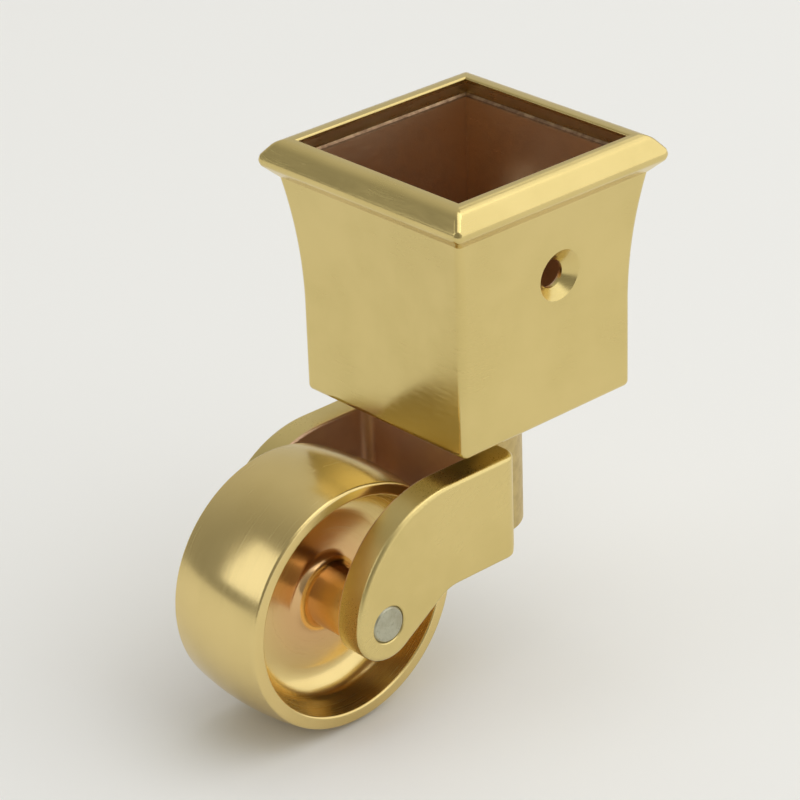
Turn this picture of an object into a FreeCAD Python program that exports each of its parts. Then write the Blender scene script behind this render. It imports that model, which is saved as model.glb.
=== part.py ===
import FreeCAD, Part
import math
import os
import re

import Sketcher
from FreeCAD import Vector

# Square cup castor in cast brass: a flared square cup takes the end of a furniture leg,
# and a trailing horn swivels under it and carries a dished wheel.
# Frame: +Z up, the horn trails towards -X, the axle runs along Y. The origin is on the
# swivel axis, at the middle of the cup's floor, where the end of the leg rests.

DRIVING_SIZES = {
    # cup
    "overall_height": 65.0,        # wheel's lowest point to the cup's rim
    "cup_height": 32.2,            # underside of the cup to its rim
    "floor_thickness": 3.0,
    "rim_width": 34.0,
    "rim_slope_width": 1.65,       # the rim's widest to its flat top, each side
    "rim_slope": 2.05,              # fall of the rim's sloping face
    "rim_nose_height": 0.8,        # upright band at the rim's widest
    "rim_nose": 0.9,              # rounding above and below that band
    "rim_depth": 4.5,              # top of the rim to the root of its underside
    "rim_band": 3.5,               # the rim's widest to the mouth, each side, for a 27 mouth
    "lip_depth": 1.9,              # straight band inside the mouth
    "lip_step": 0.25,
    "rim_overhang": 3.25,          # the rim's widest to the straight lower wall, each side
    "wall_foot": 3.05,             # thickness of the wall at the cup's underside
    "flare_start": 11.2,           # height of the straight lower wall above the underside
    "flare_spread": 1.55,          # how far the wall has leaned out at the root of the rim
    "body_corner": 0.9,            # rounding of the body's four upright corners
    "rim_corner_step": 0.05,       # rounding of the rim's mitred corners, less than the nose's
    "rim_crest": 2.2,              # rounding between the rim's flat top and its slope
    "foot_edge": 0.8,              # rounding round the cup's underside
    "mouth_edge": 0.3,
    # screw holes through the cup's two side walls
    "screw_height": 15.3,          # above the floor of the socket
    "screw_offset": 1.6,           # holes towards the back of the cup
    "screw_hole": 3.5,
    "screw_sink": 5.7,             # width of the sink at the face of the straight wall
    # horn
    "washer_thickness": 0.8,
    "washer_width": 11.6,
    "swivel_play": 0.06,           # end play of the horn on its pin, each side
    "shoulder_drop": 2.6,          # underside of the cup to the top of the cheeks
    "shoulder_foot": 0.8,          # underside of the cheeks above the axle, at the yoke
    "boss_width": 12.7,
    "boss_foot": 1.2,              # foot of the boss below the axle
    "boss_edge": 0.5,
    "trail": 25.6,                 # swivel axis to axle
    "cheek_thickness": 3.8,
    "tip_width": 9.2,              # round end of the cheek, about the axle
    "nose_radius": 14.8,
    "chin_slope": 33.0,            # degrees, rise of the lower edge behind the tip
    "chin_radius": 5.0,
    "wheel_clearance": 1.4,        # tread to the wall behind it
    "yoke_thickness": 3.9,
    "yoke_corner": 2.0,
    "yoke_bevel_height": 2.4,      # slope behind the foot of the wall
    "yoke_bevel_depth": 1.4,
    "slot_corner": 1.4,
    "cheek_edge": 0.55,
    "slot_edge": 0.25,
    # wheel
    "wheel_diameter": 32.0,
    "wheel_width": 14.3,
    "tread_crown": 0.7,            # radius lost between the middle and the sides
    "rim_wall": 1.5,
    "rim_round": 0.35,
    "rim_draft": 1.5,              # loss of radius from the dish's mouth to its web
    "web_thickness": 3.4,
    "dish_cove": 3.4,
    "hub_width": 7.6,
    "hub_cove": 1.5,
    "hub_length": 18.2,
    "hub_play": 0.1,               # each end of the hub to its cheek
    # pins
    "axle_diameter": 4.6,
    "axle_edge": 0.25,
    "running_play": 0.05,          # radial, of each turning fit
    "swivel_diameter": 6.0,
    "rivet_width": 8.6,            # spread end of the swivel pin, flush in the cup's floor
    "swivel_head": 9.0,
    "swivel_head_height": 1.8,
    "swivel_head_round": 0.6,
    "head_recess": 2.4,
    "head_play": 0.3,              # radial, of the head in its recess
}

FULL_TURN = 360        # degrees
SAME_SPOT = 1e-6       # mm, distance within which two drawn points are one
EDGE_SLACK = 0.02      # mm, distance within which an edge counts as lying at a named place

doc = FreeCAD.newDocument("cup_castor")
sizes = doc.addObject("Spreadsheet::Sheet", "sizes")
for row, (alias, value) in enumerate(DRIVING_SIZES.items(), start=1):
    sizes.set(f"A{row}", alias)
    sizes.set(f"B{row}", str(value))
    sizes.setAlias(f"B{row}", alias)
doc.recompute()


def formula(text):
    """Writes a formula of size names as one that reads the sheet."""
    def cell(word):
        return f"sizes.{word.group()}" if word.group() in DRIVING_SIZES else word.group()
    return re.sub(r"[a-z_]+", cell, text)


# Heights that several pieces share, above the origin.
RIM_TOP = "cup_height - floor_thickness"
CUP_FOOT = "0 - floor_thickness"
GROUND = "cup_height - floor_thickness - overall_height"
AXLE_HEIGHT = f"{GROUND} + wheel_diameter / 2"
HORN_TOP = f"{CUP_FOOT} - washer_thickness - swivel_play"
SHOULDER_TOP = f"{CUP_FOOT} - shoulder_drop"
SHOULDER_FOOT = f"{AXLE_HEIGHT} + shoulder_foot"
BOSS_FOOT = f"{AXLE_HEIGHT} - boss_foot"
RECESS_TOP = f"{BOSS_FOOT} + head_recess"
# Half widths that several forms share.
NOSE_HALF = "rim_width / 2"
FLAT_HALF = f"( {NOSE_HALF} - rim_slope_width )"
MOUTH_HALF = f"( {NOSE_HALF} - rim_band )"
BODY_HALF = f"( {NOSE_HALF} - rim_overhang )"
SOCKET_HALF = f"( {BODY_HALF} - wall_foot )"
SLOT_HALF = "hub_length / 2 + hub_play"
HORN_HALF = f"{SLOT_HALF} + cheek_thickness"
SLOT_END = "wheel_diameter / 2 + wheel_clearance - trail"
YOKE_BACK = f"{SLOT_END} + yoke_thickness"


def size(text):
    """The present value of a formula of size names."""
    value = sizes.evalExpression(formula(text))
    return float(getattr(value, "Value", value))


def add_body(name):
    body = doc.addObject("PartDesign::Body", name)
    body.Label = name
    return body


def add_sketch(body, name, role, offset=None):
    """A sketch on one of the body's origin planes, moved along its normal by a formula."""
    sketch = body.newObject("Sketcher::SketchObject", name)
    plane = next(item for item in body.Origin.OriginFeatures if item.Role == role)
    sketch.AttachmentSupport = [(plane, "")]
    sketch.MapMode = "FlatFace"
    if offset:
        sketch.setExpression("AttachmentOffset.Base.z", formula(offset))
        doc.recompute()
    return sketch


def pin_point(sketch, shape, end, across, up):
    """Holds one point of a sketch at two formulas, across and up from its origin."""
    for kind, text in (("DistanceX", across), ("DistanceY", up)):
        index = sketch.addConstraint(Sketcher.Constraint(kind, -1, 1, shape, end, size(text)))
        sketch.setExpression(f"Constraints[{index}]", formula(text))


def add_outline(sketch, corners):
    """A closed outline of straight sides through corners given as pairs of formulas."""
    spots = [Vector(size(across), size(up), 0) for across, up in corners]
    lines = []
    for start, end in zip(spots, spots[1:] + spots[:1]):
        lines.append(sketch.addGeometry(Part.LineSegment(start, end), False))
    for here, after in zip(lines, lines[1:] + lines[:1]):
        sketch.addConstraint(Sketcher.Constraint("Coincident", here, 2, after, 1))
    for line, (across, up) in zip(lines, corners):
        pin_point(sketch, line, 1, across, up)


def add_square(sketch, half):
    minus = f"0 - ( {half} )"
    add_outline(sketch, [(minus, minus), (half, minus), (half, half), (minus, half)])


def add_circle(sketch, width, across="0", up="0"):
    """A circle with its diameter and centre given as formulas."""
    centre = Vector(size(across), size(up), 0)
    circle = sketch.addGeometry(Part.Circle(centre, Vector(0, 0, 1), size(width) / 2), False)
    index = sketch.addConstraint(Sketcher.Constraint("Diameter", circle, size(width)))
    sketch.setExpression(f"Constraints[{index}]", formula(width))
    pin_point(sketch, circle, 3, across, up)


def hold_radius(sketch, arc, text):
    index = sketch.addConstraint(Sketcher.Constraint("Radius", arc, size(text)))
    sketch.setExpression(f"Constraints[{index}]", formula(text))


def grow(body, sketch, name, length, midplane=False, reverse=False):
    pad = body.newObject("PartDesign::Pad", name)
    pad.Profile = sketch
    pad.Midplane = midplane
    pad.Reversed = reverse
    pad.setExpression("Length", formula(length))
    doc.recompute()
    return pad


def cut(body, sketch, name, length, midplane=False, reverse=False):
    """A pocket, which has to take material away."""
    before = body.Shape.Volume
    pocket = body.newObject("PartDesign::Pocket", name)
    pocket.Profile = sketch
    pocket.Midplane = midplane
    pocket.Reversed = reverse
    pocket.setExpression("Length", formula(length))
    doc.recompute()
    assert pocket.Shape.Volume < before, name
    return pocket


def edges_where(shape, wanted):
    """Names of the edges of a shape whose middle point and edge satisfy a test."""
    names = []
    for number, edge in enumerate(shape.Edges, start=1):
        middle = edge.valueAt((edge.FirstParameter + edge.LastParameter) / 2)
        if wanted(middle, edge):
            names.append(f"Edge{number}")
    return names


def soften(body, name, radius, wanted, kind="Fillet"):
    """A fillet or chamfer on the edges of the body's tip that a test picks."""
    base = body.Tip
    feature = body.newObject(f"PartDesign::{kind}", name)
    feature.Base = (base, edges_where(base.Shape, wanted))
    feature.setExpression("Radius" if kind == "Fillet" else "Size", formula(radius))
    doc.recompute()
    return feature


def near(value, text):
    return abs(value - size(text)) < EDGE_SLACK


def is_upright(edge):
    """Whether an edge runs up more than it runs sideways, as a corner of the cup does."""
    start, end = edge.firstVertex().Point, edge.lastVertex().Point
    run = end - start
    return abs(run.z) > max(abs(run.x), abs(run.y))


# Cup: one wall section carried round a square path with mitred corners, on a floor plate.

def make_cup():
    body = add_body("cup")
    path_half = f"( {BODY_HALF} - wall_foot / 2 )"
    path = add_sketch(body, "cup_path", "XY_Plane", CUP_FOOT)
    minus = f"0 - {path_half}"
    add_outline(path, [(path_half, "0"), (path_half, path_half), (minus, path_half),
                       (minus, minus), (path_half, minus)])

    section = add_sketch(body, "cup_wall_section", "XZ_Plane")
    flare_foot = f"{CUP_FOOT} + flare_start"
    rim_root = f"{RIM_TOP} - rim_depth"
    slope_foot = f"{RIM_TOP} - rim_slope"
    lip_foot = f"{RIM_TOP} - lip_depth"
    rise = f"( {rim_root} - ( {flare_foot} ) )"
    flare_radius = f"( {rise} ^ 2 + flare_spread ^ 2 ) / ( 2 * flare_spread )"
    flare_start = (BODY_HALF, flare_foot)
    corners = [
        (SOCKET_HALF, CUP_FOOT),
        (BODY_HALF, CUP_FOOT),
        flare_start,
        (f"{BODY_HALF} + flare_spread", rim_root),
        (NOSE_HALF, f"{slope_foot} - rim_nose_height"),
        (NOSE_HALF, slope_foot),
        (FLAT_HALF, RIM_TOP),
        (MOUTH_HALF, RIM_TOP),
        (MOUTH_HALF, lip_foot),
        (f"{MOUTH_HALF} - lip_step", f"{lip_foot} - lip_step"),
        (SOCKET_HALF, "0"),
    ]
    spots = [Vector(size(across), size(up), 0) for across, up in corners]
    flare = corners.index(flare_start)
    sides = []
    for index, (start, end) in enumerate(zip(spots, spots[1:] + spots[:1])):
        if index == flare:
            half_rise = size(rise) / 2
            bulge = size(flare_radius) - math.sqrt(size(flare_radius) ** 2 - half_rise ** 2)
            middle = Vector(start.x + bulge, start.y + half_rise, 0)
            sides.append(section.addGeometry(Part.Arc(start, middle, end), False))
        else:
            sides.append(section.addGeometry(Part.LineSegment(start, end), False))
    arc = sides[flare]
    # An arc drawn clockwise is kept with its ends swapped, so its ends are looked up.
    first = 1 if section.getPoint(arc, 1).distanceToPoint(spots[flare]) < SAME_SPOT else 2
    ends = {index: (first, 3 - first) if index == flare else (1, 2) for index in range(len(sides))}
    for index, side in enumerate(sides):
        after = (index + 1) % len(sides)
        section.addConstraint(
            Sketcher.Constraint("Coincident", side, ends[index][1], sides[after], ends[after][0]))
    for index, (across, up) in enumerate(corners):
        pin_point(section, sides[index], ends[index][0], across, up)
    hold_radius(section, arc, flare_radius)
    doc.recompute()

    wall = body.newObject("PartDesign::AdditivePipe", "cup_wall")
    wall.Profile = section
    wall.Spine = (path, [f"Edge{number}" for number in range(1, len(path.Shape.Edges) + 1)])
    wall.Transition = "Right corner"
    doc.recompute()

    floor = add_sketch(body, "cup_floor_outline", "XY_Plane", CUP_FOOT)
    add_square(floor, path_half)
    grow(body, floor, "cup_floor", "floor_thickness")

    nose_low = f"{slope_foot} - rim_nose_height"

    def on_mitre(middle):
        return abs(abs(middle.x) - abs(middle.y)) < EDGE_SLACK

    soften(body, "body_corners", "body_corner",
           lambda middle, edge: on_mitre(middle) and is_upright(edge)
           and middle.z < size(rim_root) and abs(middle.x) > size(BODY_HALF) - EDGE_SLACK)
    soften(body, "rim_crest_round", "rim_crest",
           lambda middle, edge: near(middle.z, RIM_TOP)
           and near(max(abs(middle.x), abs(middle.y)), FLAT_HALF))
    soften(body, "rim_nose_round", "rim_nose",
           lambda middle, edge: near(middle.z, slope_foot) or near(middle.z, nose_low))
    soften(body, "rim_corners", "rim_nose - rim_corner_step",
           lambda middle, edge: on_mitre(middle) and size(rim_root) < middle.z < size(RIM_TOP)
           and abs(middle.x) > size(FLAT_HALF))
    soften(body, "foot_round", "foot_edge",
           lambda middle, edge: near(middle.z, CUP_FOOT)
           and max(abs(middle.x), abs(middle.y)) > size(f"{BODY_HALF} - body_corner"))
    soften(body, "mouth_round", "mouth_edge",
           lambda middle, edge: near(middle.z, RIM_TOP)
           and near(max(abs(middle.x), abs(middle.y)), MOUTH_HALF))

    hole = add_sketch(body, "screw_hole_section", "YZ_Plane", "screw_offset")
    screw_up = "screw_height"
    inside = f"{SOCKET_HALF} / 2"
    sink_foot = f"{BODY_HALF} - ( screw_sink - screw_hole ) / 2"
    add_outline(hole, [(inside, screw_up),
                       (inside, f"{screw_up} + screw_hole / 2"),
                       (sink_foot, f"{screw_up} + screw_hole / 2"),
                       (NOSE_HALF, f"{screw_up} + screw_sink / 2 + rim_overhang"),
                       (NOSE_HALF, screw_up)])
    axis = hole.addGeometry(Part.LineSegment(Vector(0, size(screw_up), 0),
                                             Vector(size(NOSE_HALF), size(screw_up), 0)), True)
    hole.addConstraint(Sketcher.Constraint("Horizontal", axis))
    pin_point(hole, axis, 1, "0", screw_up)
    before = body.Shape.Volume
    drill = body.newObject("PartDesign::Groove", "screw_hole")
    drill.Profile = hole
    drill.ReferenceAxis = (hole, ["Axis0"])
    drill.Angle = FULL_TURN
    doc.recompute()
    assert drill.Shape.Volume < before, "screw_hole"
    both = body.newObject("PartDesign::Mirrored", "screw_holes")
    both.Originals = [drill]
    both.MirrorPlane = (next(item for item in body.Origin.OriginFeatures
                             if item.Role == "XZ_Plane"), [""])
    body.Tip = both
    doc.recompute()

    bore = add_sketch(body, "rivet_hole_outline", "XY_Plane")
    add_circle(bore, "swivel_diameter")
    cut(body, bore, "rivet_hole", "2 * floor_thickness")
    soften(body, "rivet_sink", "( rivet_width - swivel_diameter ) / 2",
           lambda middle, edge: near(middle.z, "0")
           and near(math.hypot(middle.x, middle.y), "swivel_diameter / 2"), "Chamfer")
    return body


# Horn: two cheeks joined by a wall behind the wheel, with an upright boss at the back.

def make_horn():
    body = add_body("horn")
    side = add_sketch(body, "cheek_outline", "XZ_Plane")
    axle = Vector(-size("trail"), size(AXLE_HEIGHT), 0)
    tip = size("tip_width / 2")
    nose = size("nose_radius")
    chin = size("chin_radius")
    top = size(SHOULDER_TOP)
    foot = size(SHOULDER_FOOT)
    back = size(YOKE_BACK)
    slope = math.radians(size("chin_slope"))
    nose_drop = top - nose - axle.y
    nose_centre = Vector(axle.x + math.sqrt((nose - tip) ** 2 - nose_drop ** 2), top - nose, 0)
    nose_top = Vector(nose_centre.x, top, 0)
    toward = (axle - nose_centre).normalize()
    brow = axle + toward * tip
    below = Vector(math.sin(slope), -math.cos(slope), 0)
    throat = axle + below * tip
    along = Vector(math.cos(slope), math.sin(slope), 0)
    setback = chin * math.tan(slope / 2)
    knee = throat + along * ((foot - throat.y) / math.sin(slope))
    chin_start = knee - along * setback
    chin_end = knee + Vector(setback, 0, 0)
    chin_centre = chin_end - Vector(0, chin, 0)
    chin_middle = chin_centre + Vector(-math.sin(slope / 2), math.cos(slope / 2), 0) * chin
    middle_turn = (Vector(0, 1, 0) + toward).normalize()
    chord = (toward + below).normalize()

    top_line = side.addGeometry(Part.LineSegment(Vector(back, top, 0), nose_top), False)
    nose_arc = side.addGeometry(Part.Arc(nose_top, nose_centre + middle_turn * nose, brow), False)
    tip_arc = side.addGeometry(Part.Arc(brow, axle + chord * tip, throat), False)
    throat_line = side.addGeometry(Part.LineSegment(throat, chin_start), False)
    chin_arc = side.addGeometry(Part.Arc(chin_start, chin_middle, chin_end), False)
    heel = Vector(back - size("yoke_bevel_depth"), foot, 0)
    calf = Vector(back, foot + size("yoke_bevel_height"), 0)
    foot_line = side.addGeometry(Part.LineSegment(chin_end, heel), False)
    bevel_line = side.addGeometry(Part.LineSegment(heel, calf), False)
    back_line = side.addGeometry(Part.LineSegment(calf, Vector(back, top, 0)), False)

    def end_at(shape, spot):
        return 1 if side.getPoint(shape, 1).distanceToPoint(spot) < SAME_SPOT else 2

    joins = [(top_line, nose_arc, nose_top, "Tangent"), (nose_arc, tip_arc, brow, "Tangent"),
             (tip_arc, throat_line, throat, "Tangent"),
             (throat_line, chin_arc, chin_start, "Tangent"),
             (chin_arc, foot_line, chin_end, "Tangent"),
             (foot_line, bevel_line, heel, "Coincident"),
             (bevel_line, back_line, calf, "Coincident"),
             (back_line, top_line, Vector(back, top, 0), "Coincident")]
    for one, other, spot, kind in joins:
        side.addConstraint(
            Sketcher.Constraint(kind, one, end_at(one, spot), other, end_at(other, spot)))
    side.addConstraint(Sketcher.Constraint("Horizontal", top_line))
    side.addConstraint(Sketcher.Constraint("Horizontal", foot_line))
    pin_point(side, tip_arc, 3, "0 - trail", AXLE_HEIGHT)
    pin_point(side, bevel_line, 1, f"{YOKE_BACK} - yoke_bevel_depth", SHOULDER_FOOT)
    pin_point(side, back_line, 1, YOKE_BACK, f"{SHOULDER_FOOT} + yoke_bevel_height")
    pin_point(side, back_line, 2, YOKE_BACK, SHOULDER_TOP)
    hold_radius(side, tip_arc, "tip_width / 2")
    hold_radius(side, nose_arc, "nose_radius")
    hold_radius(side, chin_arc, "chin_radius")
    rise = side.addConstraint(Sketcher.Constraint("Angle", throat_line, slope))
    side.setExpression(f"Constraints[{rise}]", formula("chin_slope * 1 deg"))
    doc.recompute()
    grow(body, side, "cheeks_blank", f"2 * ( {HORN_HALF} )", midplane=True)

    slot = add_sketch(body, "wheel_slot_outline", "XY_Plane", SHOULDER_TOP)
    front = "0 - trail - tip_width - nose_radius"
    minus = f"0 - ( {SLOT_HALF} )"
    add_outline(slot, [(front, minus), (SLOT_END, minus), (SLOT_END, SLOT_HALF),
                       (front, SLOT_HALF)])
    cut(body, slot, "wheel_slot", "overall_height")

    soften(body, "slot_corners", "slot_corner",
           lambda middle, edge: near(middle.x, SLOT_END) and near(abs(middle.y), SLOT_HALF)
           and is_upright(edge))
    soften(body, "yoke_corners", "yoke_corner",
           lambda middle, edge: near(middle.x, YOKE_BACK) and near(abs(middle.y), HORN_HALF)
           and is_upright(edge))
    soften(body, "cheek_rounds", "cheek_edge",
           lambda middle, edge: near(abs(middle.y), HORN_HALF) and not is_upright(edge)
           or near(abs(middle.y), HORN_HALF) and middle.x < size("0 - trail"))
    soften(body, "slot_rounds", "slot_edge",
           lambda middle, edge: near(abs(middle.y), SLOT_HALF) and middle.x < size(SLOT_END)
           and (not is_upright(edge) or middle.x < size("0 - trail")))

    boss = add_sketch(body, "boss_outline", "XY_Plane", BOSS_FOOT)
    add_circle(boss, "boss_width")
    grow(body, boss, "boss", f"{HORN_TOP} - ( {BOSS_FOOT} )")
    soften(body, "boss_edges", "boss_edge",
           lambda middle, edge: near(math.hypot(middle.x, middle.y), "boss_width / 2")
           and (near(middle.z, HORN_TOP) or near(middle.z, BOSS_FOOT)), "Chamfer")

    bore = add_sketch(body, "swivel_bore_outline", "XY_Plane", HORN_TOP)
    add_circle(bore, "swivel_diameter + 2 * running_play")
    cut(body, bore, "swivel_bore", "overall_height")
    recess = add_sketch(body, "head_recess_outline", "XY_Plane", BOSS_FOOT)
    add_circle(recess, "swivel_head + 2 * head_play")
    cut(body, recess, "head_recess_cut", "head_recess", reverse=True)

    axle_hole = add_sketch(body, "axle_hole_outline", "XZ_Plane")
    add_circle(axle_hole, "axle_diameter", "0 - trail", AXLE_HEIGHT)
    cut(body, axle_hole, "axle_hole", "overall_height", midplane=True)
    soften(body, "axle_hole_edges", "axle_edge / 2",
           lambda middle, edge: near(abs(middle.y), HORN_HALF)
           and near(math.hypot(middle.x + size("trail"), middle.z - size(AXLE_HEIGHT)),
                    "axle_diameter / 2"), "Chamfer")
    return body


# Wheel: one turned section with a crowned tread, a dish each side and a long hub.

def make_wheel():
    body = add_body("wheel")
    section = add_sketch(body, "wheel_section", "YZ_Plane")
    half_width = "wheel_width / 2"
    side_radius = "wheel_diameter / 2 - tread_crown"
    dish_radius = f"{side_radius} - rim_wall"
    web_radius = f"{dish_radius} - rim_draft"
    bore = "axle_diameter / 2 + running_play"
    right = [(half_width, side_radius), (half_width, dish_radius),
             ("web_thickness / 2", web_radius), ("web_thickness / 2", "hub_width / 2"),
             ("hub_length / 2", "hub_width / 2"), ("hub_length / 2", bore)]
    corners = right + [(f"0 - {across}", up) for across, up in reversed(right)]
    spots = [Vector(size(across), size(up), 0) for across, up in corners]
    lines = []
    for start, end in zip(spots[:-1], spots[1:]):
        lines.append(section.addGeometry(Part.LineSegment(start, end), False))
    for here, after in zip(lines, lines[1:]):
        section.addConstraint(Sketcher.Constraint("Coincident", here, 2, after, 1))
    for line, (across, up) in zip(lines, corners):
        pin_point(section, line, 1, across, up)
    pin_point(section, lines[-1], 2, *corners[-1])
    crown = Vector(0, size("wheel_diameter / 2"), 0)
    tread = section.addGeometry(Part.Arc(spots[0], crown, spots[-1]), False)
    section.addConstraint(Sketcher.Constraint("Coincident", tread, 1, lines[0], 1))
    section.addConstraint(Sketcher.Constraint("Coincident", tread, 2, lines[-1], 2))
    crown_radius = "( ( wheel_width / 2 ) ^ 2 + tread_crown ^ 2 ) / ( 2 * tread_crown )"
    hold_radius(section, tread, crown_radius)
    doc.recompute()
    turn = body.newObject("PartDesign::Revolution", "wheel_turning")
    turn.Profile = section
    turn.ReferenceAxis = (section, ["H_Axis"])
    turn.Angle = FULL_TURN
    doc.recompute()

    def ring(middle, edge, across, radius):
        return near(abs(middle.y), across) and near(math.hypot(middle.x, middle.z), radius)

    soften(body, "hub_coves", "hub_cove",
           lambda middle, edge: ring(middle, edge, "web_thickness / 2", "hub_width / 2"))
    soften(body, "dish_coves", "dish_cove",
           lambda middle, edge: ring(middle, edge, "web_thickness / 2", web_radius))
    soften(body, "rim_rounds", "rim_round",
           lambda middle, edge: ring(middle, edge, half_width, side_radius)
           or ring(middle, edge, half_width, dish_radius))
    soften(body, "hub_ends", "axle_edge",
           lambda middle, edge: ring(middle, edge, "hub_length / 2", "hub_width / 2"))
    body.setExpression("Placement.Base.x", formula("0 - trail"))
    body.setExpression("Placement.Base.z", formula(AXLE_HEIGHT))
    return body


# Axle pin: plain steel rod, riveted flush in both cheeks.

def make_axle_pin():
    body = add_body("axle_pin")
    outline = add_sketch(body, "axle_pin_outline", "XZ_Plane")
    add_circle(outline, "axle_diameter")
    grow(body, outline, "axle_pin_rod", f"2 * ( {HORN_HALF} )", midplane=True)
    soften(body, "axle_pin_ends", "axle_edge",
           lambda middle, edge: near(abs(middle.y), HORN_HALF), "Chamfer")
    body.setExpression("Placement.Base.x", formula("0 - trail"))
    body.setExpression("Placement.Base.z", formula(AXLE_HEIGHT))
    return body


# Swivel pin: turned section with its head in the boss and its end spread in the cup's floor.

def make_swivel_pin():
    body = add_body("swivel_pin")
    section = add_sketch(body, "swivel_pin_section", "XZ_Plane")
    head_top = f"{RECESS_TOP} - swivel_play"
    spread = "( rivet_width - swivel_diameter ) / 2"
    add_outline(section, [
        ("0", f"{head_top} - swivel_head_height"),
        ("swivel_head / 2", f"{head_top} - swivel_head_height"),
        ("swivel_head / 2", head_top),
        ("swivel_diameter / 2", head_top),
        ("swivel_diameter / 2", f"0 - {spread}"),
        ("rivet_width / 2", "0"),
        ("0", "0"),
    ])
    turn = body.newObject("PartDesign::Revolution", "swivel_pin_turning")
    turn.Profile = section
    turn.ReferenceAxis = (section, ["V_Axis"])
    turn.Angle = FULL_TURN
    doc.recompute()
    soften(body, "head_round", "swivel_head_round",
           lambda middle, edge: near(middle.z, f"{head_top} - swivel_head_height")
           and math.hypot(middle.x, middle.y) > size("swivel_diameter / 2"))
    return body


# Washer between the cup's underside and the top of the boss.

def make_washer():
    body = add_body("thrust_washer")
    outline = add_sketch(body, "washer_outline", "XY_Plane", f"{CUP_FOOT} - washer_thickness")
    add_circle(outline, "washer_width")
    add_circle(outline, "swivel_diameter + 2 * running_play")
    grow(body, outline, "washer_disc", "washer_thickness")
    return body


bodies = [make_cup(), make_horn(), make_wheel(), make_axle_pin(), make_swivel_pin(), make_washer()]
doc.recompute()

for item in doc.Objects:
    assert "Invalid" not in item.State and "Error" not in item.State, item.Name
for body in bodies:
    assert not body.Shape.isNull() and body.Shape.isValid(), body.Label
    assert len(body.Shape.Solids) == 1, body.Label

os.makedirs("parts", exist_ok=True)
for body in bodies:
    body.Shape.exportStep(f"parts/{body.Label}.step")
    box = body.Shape.BoundBox
    print(f"{body.Label}: {body.Shape.Volume:.1f} mm3, x {box.XMin:.2f} {box.XMax:.2f}, "
          f"y {box.YMin:.2f} {box.YMax:.2f}, z {box.ZMin:.2f} {box.ZMax:.2f}")
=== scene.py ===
import bpy
import math
from mathutils import Matrix, Vector


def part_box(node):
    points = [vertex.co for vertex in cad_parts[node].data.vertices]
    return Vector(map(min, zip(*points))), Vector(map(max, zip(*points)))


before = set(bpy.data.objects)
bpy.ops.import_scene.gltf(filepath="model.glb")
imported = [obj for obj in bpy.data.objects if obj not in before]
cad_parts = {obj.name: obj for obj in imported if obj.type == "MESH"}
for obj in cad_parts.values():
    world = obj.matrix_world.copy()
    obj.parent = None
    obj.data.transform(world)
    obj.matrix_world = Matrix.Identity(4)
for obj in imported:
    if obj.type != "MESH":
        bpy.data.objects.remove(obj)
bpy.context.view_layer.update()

MM = 0.001

# Places that the finishes need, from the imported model. All but GROUND are in mm.
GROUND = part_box("wheel")[0][2]
CUP_HALF, _, RIM_TOP = (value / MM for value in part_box("cup")[1])
AXLE_X, _, AXLE_Z = (sum(ends) / 2 / MM for ends in zip(*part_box("axle_pin")))
WHEEL_RADIUS = AXLE_Z - GROUND / MM

# Sizes that the source gives, in mm.
SOCKET_INSET = 6.3       # the rim's widest to the socket's wall at its floor
SOCKET_TAPER = 0.094     # how far that wall leans out for each mm of height
LIP_DEPTH = 1.9
WHEEL_CLEARANCE = 1.4
FORK_HALF = 9.3          # the middle to just past the cheeks' inner faces

SOCKET_HALF = CUP_HALF - SOCKET_INSET
LIP_FOOT = RIM_TOP - LIP_DEPTH
FORK_END = AXLE_X + WHEEL_RADIUS + WHEEL_CLEARANCE


# Node trees

class Net:
    """A node tree, built from short calls."""

    def __init__(self, tree):
        self.tree = tree

    def node(self, kind, **facts):
        made = self.tree.nodes.new(kind)
        for key, value in facts.items():
            setattr(made, key, value)
        return made

    def plug(self, value, socket):
        if isinstance(value, bpy.types.NodeSocket):
            self.tree.links.new(value, socket)
        else:
            socket.default_value = value

    def calc(self, operation, *values):
        made = self.node("ShaderNodeMath", operation=operation)
        for value, socket in zip(values, made.inputs):
            self.plug(value, socket)
        return made.outputs[0]

    def axes(self, vector):
        made = self.node("ShaderNodeSeparateXYZ")
        self.plug(vector, made.inputs[0])
        return made.outputs

    def joined(self, *values):
        made = self.node("ShaderNodeCombineXYZ")
        for value, socket in zip(values, made.inputs):
            self.plug(value, socket)
        return made.outputs[0]

    def ramp(self, value, low, high, start=0.0, end=1.0, smooth=True):
        """value from low to high becomes start to end, and stays there outside."""
        made = self.node("ShaderNodeMapRange",
                         interpolation_type="SMOOTHSTEP" if smooth else "LINEAR")
        self.plug(value, made.inputs["Value"])
        facts = {"From Min": low, "From Max": high, "To Min": start, "To Max": end}
        for key, number in facts.items():
            made.inputs[key].default_value = number
        return made.outputs["Result"]


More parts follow.
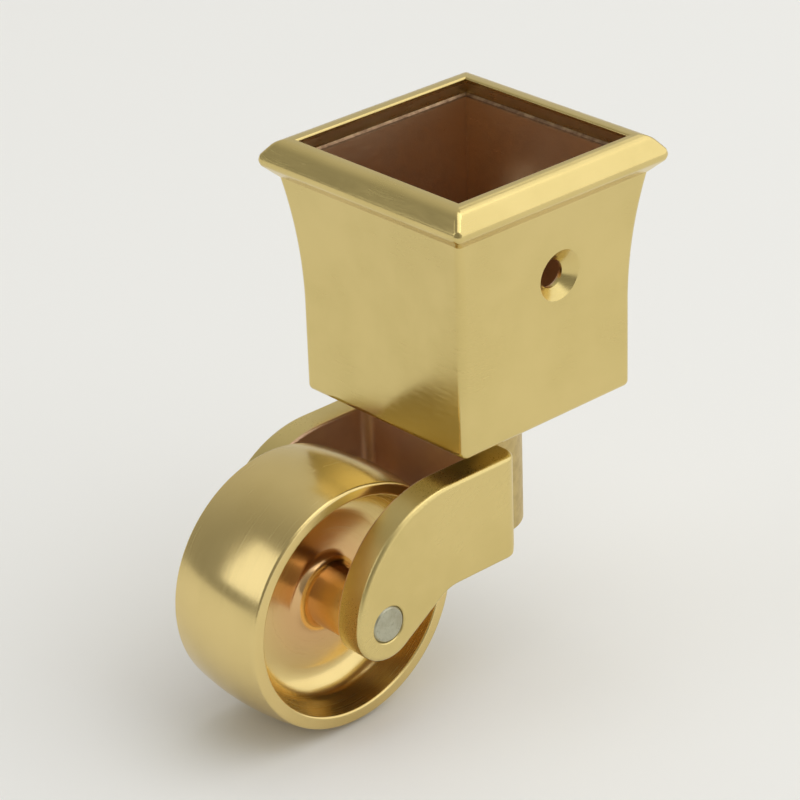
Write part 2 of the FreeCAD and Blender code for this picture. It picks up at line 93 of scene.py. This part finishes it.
class Metal(Net):
    """A metal's material. place is a point of the surface, in mm, and x, y and z are its parts."""

    def __init__(self, name):
        self.material = bpy.data.materials.new(name)
        self.material.use_nodes = True
        super().__init__(self.material.node_tree)
        self.shader = self.tree.nodes["Principled BSDF"]
        self.shader.inputs["Metallic"].default_value = 1.0
        coords = self.node("ShaderNodeTexCoord")
        in_mm = self.node("ShaderNodeVectorMath", operation="MULTIPLY")
        self.plug(coords.outputs["Object"], in_mm.inputs[0])
        self.plug((1 / MM,) * 3, in_mm.inputs[1])
        self.place = in_mm.outputs[0]
        self.x, self.y, self.z = self.axes(self.place)

    def noise(self, vector, scale, detail=2.0, rough=0.5):
        """Noise from 0 to 1. scale is in features for each mm."""
        made = self.node("ShaderNodeTexNoise")
        facts = {"Vector": vector, "Scale": scale, "Detail": detail, "Roughness": rough}
        for key, value in facts.items():
            self.plug(value, made.inputs[key])
        return made.outputs["Fac"]

    def blend(self, factor, first, second):
        made = self.node("ShaderNodeMix", data_type="RGBA")
        for value, index in ((factor, 0), (first, 6), (second, 7)):
            self.plug(value, made.inputs[index])
        return made.outputs[2]

    def blend_vectors(self, factor, first, second):
        made = self.node("ShaderNodeMix", data_type="VECTOR")
        for value, index in ((factor, 0), (first, 4), (second, 5)):
            self.plug(value, made.inputs[index])
        return made.outputs[1]

    def bump(self, height, strength, distance, below=None):
        made = self.node("ShaderNodeBump")
        facts = {"Height": height, "Strength": strength, "Distance": distance}
        for key, value in facts.items():
            self.plug(value, made.inputs[key])
        if below is not None:
            self.plug(below, made.inputs["Normal"])
        return made.outputs["Normal"]

    def hollows(self, reach, deepest):
        """How shut in a place is, from 0 in the open to deepest. reach is in metres."""
        made = self.node("ShaderNodeAmbientOcclusion", samples=8, only_local=False)
        made.inputs["Distance"].default_value = reach
        return self.ramp(made.outputs["AO"], 0.25, 0.85, deepest, 0.0)


# Where the brass differs over a piece. A grain's numbers are features for each mm.

ACROSS = 9.0             # across fine brushed or turned lines
ALONG = 0.35             # along them


def stretched(net, values, factors):
    """The vector of the values, each times its own factor."""
    return net.joined(*(net.calc("MULTIPLY", value, factor)
                        for value, factor in zip(values, factors)))


def brushed_level(net):
    """Brushing that runs level round the cup, a little unevenly."""
    wander = net.noise(net.place, 0.12, 1.0)
    level = net.calc("ADD", net.z, net.calc("MULTIPLY", wander, 1.5))
    return stretched(net, (net.x, net.y, level), (ALONG, ALONG, ACROSS))


def brushed_along_cheeks(net):
    """Brushing that falls towards the axle, at about 34 degrees."""
    tilted = net.calc("ADD", net.calc("MULTIPLY", net.z, 0.83),
                      net.calc("MULTIPLY", net.x, -0.55))
    return stretched(net, (net.x, net.y, tilted), (0.3, 6.0, 8.0))


def turned(net):
    """Lathe lines: rings about the axle, on the tread and in the dishes."""
    return stretched(net, (from_axle(net), net.y), (ACROSS, ACROSS))


def from_axle(net):
    """Distance from the wheel's axis, in mm."""
    dx = net.calc("SUBTRACT", net.x, AXLE_X)
    dz = net.calc("SUBTRACT", net.z, AXLE_Z)
    squares = net.calc("ADD", net.calc("MULTIPLY", dx, dx), net.calc("MULTIPLY", dz, dz))
    return net.calc("SQRT", squares)


def hub_painted_shade(net):
    """Warmer, more orange brass on the hub, fading out over the web: painted shade and reflection
    from the cheeks around it.
    """
    return net.ramp(from_axle(net), 5.0, 12.0, 0.95, 0.12)


def from_socket(net):
    """How far outside the socket's tapering wall a place is, in mm."""
    wide = net.calc("MAXIMUM", net.calc("ABSOLUTE", net.x), net.calc("ABSOLUTE", net.y))
    wall = net.calc("MULTIPLY_ADD", net.z, SOCKET_TAPER, SOCKET_HALF)
    return net.calc("SUBTRACT", wide, wall)


def above_floor(net):
    """1 from the socket's floor up, 0 in the metal below it."""
    return net.ramp(net.z, -0.2, -0.05)


def inside_cup(net):
    """The socket's walls and floor, and less of the lip."""
    within = net.ramp(from_socket(net), 0.1, 0.3, 1.0, 0.0)
    up_to_rim = net.calc("MULTIPLY", net.ramp(net.z, LIP_FOOT - 0.1, LIP_FOOT + 0.1, 1.0, 0.65),
                         net.ramp(net.z, LIP_FOOT + 1.1, LIP_FOOT + 1.7, 1.0, 0.0))
    return net.calc("MULTIPLY", net.calc("MULTIPLY", within, above_floor(net)), up_to_rim)


def socket_painted_shade(net):
    """Brown painted shade on the step inside the mouth, less on the lip above; the socket also
    darkens towards its floor.
    """
    within = net.ramp(from_socket(net), 0.35, 0.5, 1.0, 0.0)
    floor = net.calc("MULTIPLY", above_floor(net), net.ramp(net.z, 0.5, 5.0, 0.6, 0.0))
    step = net.calc("MULTIPLY", net.ramp(net.z, LIP_FOOT - 0.6, LIP_FOOT - 0.3),
                    net.ramp(net.z, LIP_FOOT, LIP_FOOT + 0.15, 1.0, 0.25))
    step = net.calc("MULTIPLY", step,
                    net.ramp(net.z, LIP_FOOT + 0.3, LIP_FOOT + 1.5, 1.0, 0.35))
    return net.calc("MULTIPLY", within, net.calc("MAXIMUM", step, floor))


def boss_painted_shade(net):
    """Painted shade on the back of the horn, under the cup."""
    return net.ramp(net.x, -4.5, -1.5, 0.0, 0.42)


def inside_fork(net):
    """The slot between the cheeks, and the wall at its end."""
    between = net.ramp(net.calc("ABSOLUTE", net.y), FORK_HALF, FORK_HALF + 0.3, 1.0, 0.0)
    return net.calc("MULTIPLY", between,
                    net.ramp(net.x, FORK_END + 0.1, FORK_END + 0.5, 1.0, 0.0))


# Finishes. Each pair of colours is mixed in soft clouds.

BRASS = (0.73, 0.58, 0.24, 1), (0.68, 0.54, 0.215, 1)
TURNED_BRASS = (0.79, 0.63, 0.27, 1), (0.74, 0.585, 0.24, 1)
CAST_CUP = (0.72, 0.51, 0.32, 1), (0.63, 0.435, 0.275, 1)
# Lighter than the cup's cast colours: painted light in the fork's shaded slot.
CAST_FORK_PAINTED_LIGHT = (0.89, 0.625, 0.42, 1), (0.81, 0.545, 0.375, 1)
# Warmer brass for the hub's painted shade and reflection.
WARM_PAINTED_SHADE = (0.75, 0.47, 0.22, 1)
# The colour of tarnish in corners, also used for painted shade.
TARNISH_AND_SHADE = (0.24, 0.145, 0.085, 1)
STEEL = (0.50, 0.49, 0.37, 1), (0.42, 0.40, 0.29, 1)
STEEL_PITS = (0.2, 0.17, 0.12, 1)


def brass(name, grain, rough, shade, tones=BRASS, cast=None, cast_mask=None, warm_shade_mask=None,
          painted_shade_mask=None):
    """Satin brass.

    grain gives the vector whose noise makes the brushed or turned lines. shade is how much
    tarnish lies in the corners, which also paints shade where parts lie close. tones are the
    colours of the worked brass, and cast those of the brass as cast, lighter on the horn as
    painted light. The masks give where it is as cast, where it is warmer, which is painted shade
    and reflection, and where painted shade lies.
    """
    net = Metal(name)
    clouds = net.noise(net.place, 0.11, 3.0, 0.55)
    fine = net.noise(net.place, 0.9, 4.0, 0.6)
    lines = net.noise(grain(net), 1.0, 3.0, 0.65)

    tone = net.blend(net.ramp(clouds, 0.35, 0.68, 0.0, 0.8), *tones)
    if warm_shade_mask:
        tone = net.blend(warm_shade_mask(net), tone, WARM_PAINTED_SHADE)
    if cast_mask:
        as_cast = cast_mask(net)
        tone = net.blend(as_cast, tone, net.blend(net.ramp(clouds, 0.35, 0.65), *cast))
    # Tarnish in the corners and painted shade where parts lie close, from how shut in a place is;
    # the mask adds more painted shade.
    tarnish_and_shade = net.hollows(1.6 * MM, shade)
    if painted_shade_mask:
        tarnish_and_shade = net.calc("MAXIMUM", tarnish_and_shade, painted_shade_mask(net))
    tarnish_and_shade = net.calc("MULTIPLY", tarnish_and_shade, net.ramp(fine, 0.3, 0.7, 0.6, 1.0))
    net.plug(net.blend(tarnish_and_shade, tone, TARNISH_AND_SHADE), net.shader.inputs["Base Color"])

    changes = [net.ramp(lines, 0.3, 0.7, -0.05, 0.06, smooth=False),
               net.ramp(clouds, 0.3, 0.7, -0.03, 0.04), net.calc("MULTIPLY", tarnish_and_shade, 0.3)]
    normal = net.bump(lines, 0.08, 0.02 * MM)
    normal = net.bump(fine, 0.05, 0.05 * MM, normal)
    if cast_mask:
        grit = net.noise(net.place, 2.2, 5.0, 0.7)
        changes.append(net.calc("MULTIPLY", as_cast, 0.15))
        normal = net.blend_vectors(as_cast, normal, net.bump(grit, 0.22, 0.10 * MM, normal))
    for change in changes:
        rough = net.calc("ADD", rough, change)
    net.plug(rough, net.shader.inputs["Roughness"])
    net.plug(normal, net.shader.inputs["Normal"])
    return net.material


def steel(name):
    """Plain dull steel, lightly pitted."""
    net = Metal(name)
    clouds = net.noise(net.place, 0.5, 3.0)
    grit = net.noise(net.place, 3.5, 5.0, 0.65)
    tone = net.blend(net.ramp(clouds, 0.35, 0.65), *STEEL)
    tone = net.blend(net.ramp(grit, 0.55, 0.75, 0.0, 0.5), tone, STEEL_PITS)
    net.plug(tone, net.shader.inputs["Base Color"])
    net.plug(net.ramp(grit, 0.3, 0.7, 0.36, 0.55), net.shader.inputs["Roughness"])
    net.plug(net.bump(grit, 0.25, 0.05 * MM), net.shader.inputs["Normal"])
    return net.material


pin_steel = steel("steel_pin")
finishes = {
    "cup": brass("brass_cup", brushed_level, 0.20, 0.2, cast=CAST_CUP, cast_mask=inside_cup,
                 painted_shade_mask=socket_painted_shade),
    "horn": brass("brass_horn", brushed_along_cheeks, 0.32, 0.1, cast=CAST_FORK_PAINTED_LIGHT,
                  cast_mask=inside_fork, painted_shade_mask=boss_painted_shade),
    "wheel": brass("brass_wheel", turned, 0.20, 0.15, TURNED_BRASS, warm_shade_mask=hub_painted_shade),
    "axle_pin": pin_steel,
    "swivel_pin": pin_steel,
    "thrust_washer": pin_steel,
}
for name, finish in finishes.items():
    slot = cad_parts[name].material_slots[0]
    slot.link = "OBJECT"
    slot.material = finish


# Floor

FLOOR_HALF = 50.0        # metres, so that its far edge is near the horizon
FLOOR_COLOUR = (0.86, 0.86, 0.85, 1)


def make_floor(half):
    mesh = bpy.data.meshes.new("floor")
    corners = [(x * half, y * half, GROUND) for x, y in ((-1, -1), (1, -1), (1, 1), (-1, 1))]
    mesh.from_pydata(corners, [], [(0, 1, 2, 3)])
    floor = bpy.data.objects.new("floor", mesh)
    bpy.context.scene.collection.objects.link(floor)
    material = bpy.data.materials.new("floor_pale")
    material.use_nodes = True
    shader = material.node_tree.nodes["Principled BSDF"]
    shader.inputs["Base Color"].default_value = FLOOR_COLOUR
    shader.inputs["Roughness"].default_value = 0.9
    shader.inputs["Specular IOR Level"].default_value = 0.1
    mesh.materials.append(material)


make_floor(FLOOR_HALF)


# Light: soft panels in a pale room

WHITE = (1, 1, 1)
COOL = (0.98, 1.0, 1.07)
LAMPS = [
    # name, place, width and height in metres, power in watts, colour
    ("key", (0.78, -0.68, 0.68), 2.5, 1.75, 8.8, COOL),
    ("overhead", (0.15, -0.20, 1.25), 1.2, 1.0, 4.2, WHITE),
    ("left", (-0.92, 0.47, 0.50), 0.55, 0.75, 1.2, COOL),
    ("back", (0.87, 0.42, 0.66), 0.5, 0.4, 0.25, WHITE),
]
for name, place, width, height, power, colour in LAMPS:
    lamp = bpy.data.lights.new(name, "AREA")
    lamp.shape = "RECTANGLE"
    lamp.size = width
    lamp.size_y = height
    lamp.energy = power
    lamp.color = colour
    holder = bpy.data.objects.new(name, lamp)
    holder.location = place
    holder.rotation_euler = Vector(place).to_track_quat("Z", "Y").to_euler()
    bpy.context.scene.collection.objects.link(holder)

ROOM_COLOUR = (1.0, 0.98, 0.90, 1)
ROOM_LIGHT = 0.60        # strength as it lights rough surfaces
ROOM_SEEN = 0.50         # strength as the camera, metal and glass see it
DARK_SIDE, LIGHT_SIDE = 0.58, 1.2

world = bpy.data.worlds.new("tent")
bpy.context.scene.world = world
world.use_nodes = True
room = Net(world.node_tree)
rays = room.node("ShaderNodeLightPath").outputs
seen = room.calc("MAXIMUM", rays["Is Camera Ray"], rays["Is Glossy Ray"])
seen = room.calc("MAXIMUM", seen, rays["Is Transmission Ray"])
strength = room.ramp(seen, 0.0, 1.0, ROOM_LIGHT, ROOM_SEEN, smooth=False)
# The room is darker towards -X, but not as the camera sees it.
heading = room.axes(room.node("ShaderNodeTexCoord").outputs["Generated"])
side = room.ramp(heading["X"], -0.75, 0.45, DARK_SIDE, LIGHT_SIDE)
side = room.calc("MAXIMUM", side, rays["Is Camera Ray"])
background = room.tree.nodes["Background"]
background.inputs["Color"].default_value = ROOM_COLOUR
room.plug(room.calc("MULTIPLY", strength, side), background.inputs["Strength"])


# Camera at the photograph's angle

IMAGE = 800
FOCAL_PX = 3200.8
CENTRE_PX = (419.54, 407.28)
AZIMUTH = math.radians(-42.305)
ELEVATION = math.radians(26.844)
ROLL = math.radians(-1.845)
DISTANCE = 378.64 * MM
TARGET = Vector((-8 * MM, 0, 33 * MM + GROUND))
SENSOR = 36.0

back = Vector((math.sin(AZIMUTH) * math.cos(ELEVATION),
               -math.cos(AZIMUTH) * math.cos(ELEVATION), math.sin(ELEVATION)))
level_right = Vector((math.cos(AZIMUTH), math.sin(AZIMUTH), 0))
level_up = back.cross(level_right)
right = level_right * math.cos(ROLL) + level_up * math.sin(ROLL)
up = level_up * math.cos(ROLL) - level_right * math.sin(ROLL)
spot = TARGET + back * DISTANCE
lens = bpy.data.cameras.new("camera")
lens.sensor_width = SENSOR
lens.lens = FOCAL_PX * SENSOR / IMAGE
lens.shift_x = (IMAGE / 2 - CENTRE_PX[0]) / IMAGE
lens.shift_y = (CENTRE_PX[1] - IMAGE / 2) / IMAGE
lens.clip_start = 0.01
lens.clip_end = 150
camera = bpy.data.objects.new("camera", lens)
camera.matrix_world = Matrix(((right.x, up.x, back.x, spot.x), (right.y, up.y, back.y, spot.y),
                              (right.z, up.z, back.z, spot.z), (0, 0, 0, 1)))
bpy.context.scene.collection.objects.link(camera)
bpy.context.scene.camera = camera
bpy.context.scene.view_settings.view_transform = "Standard"
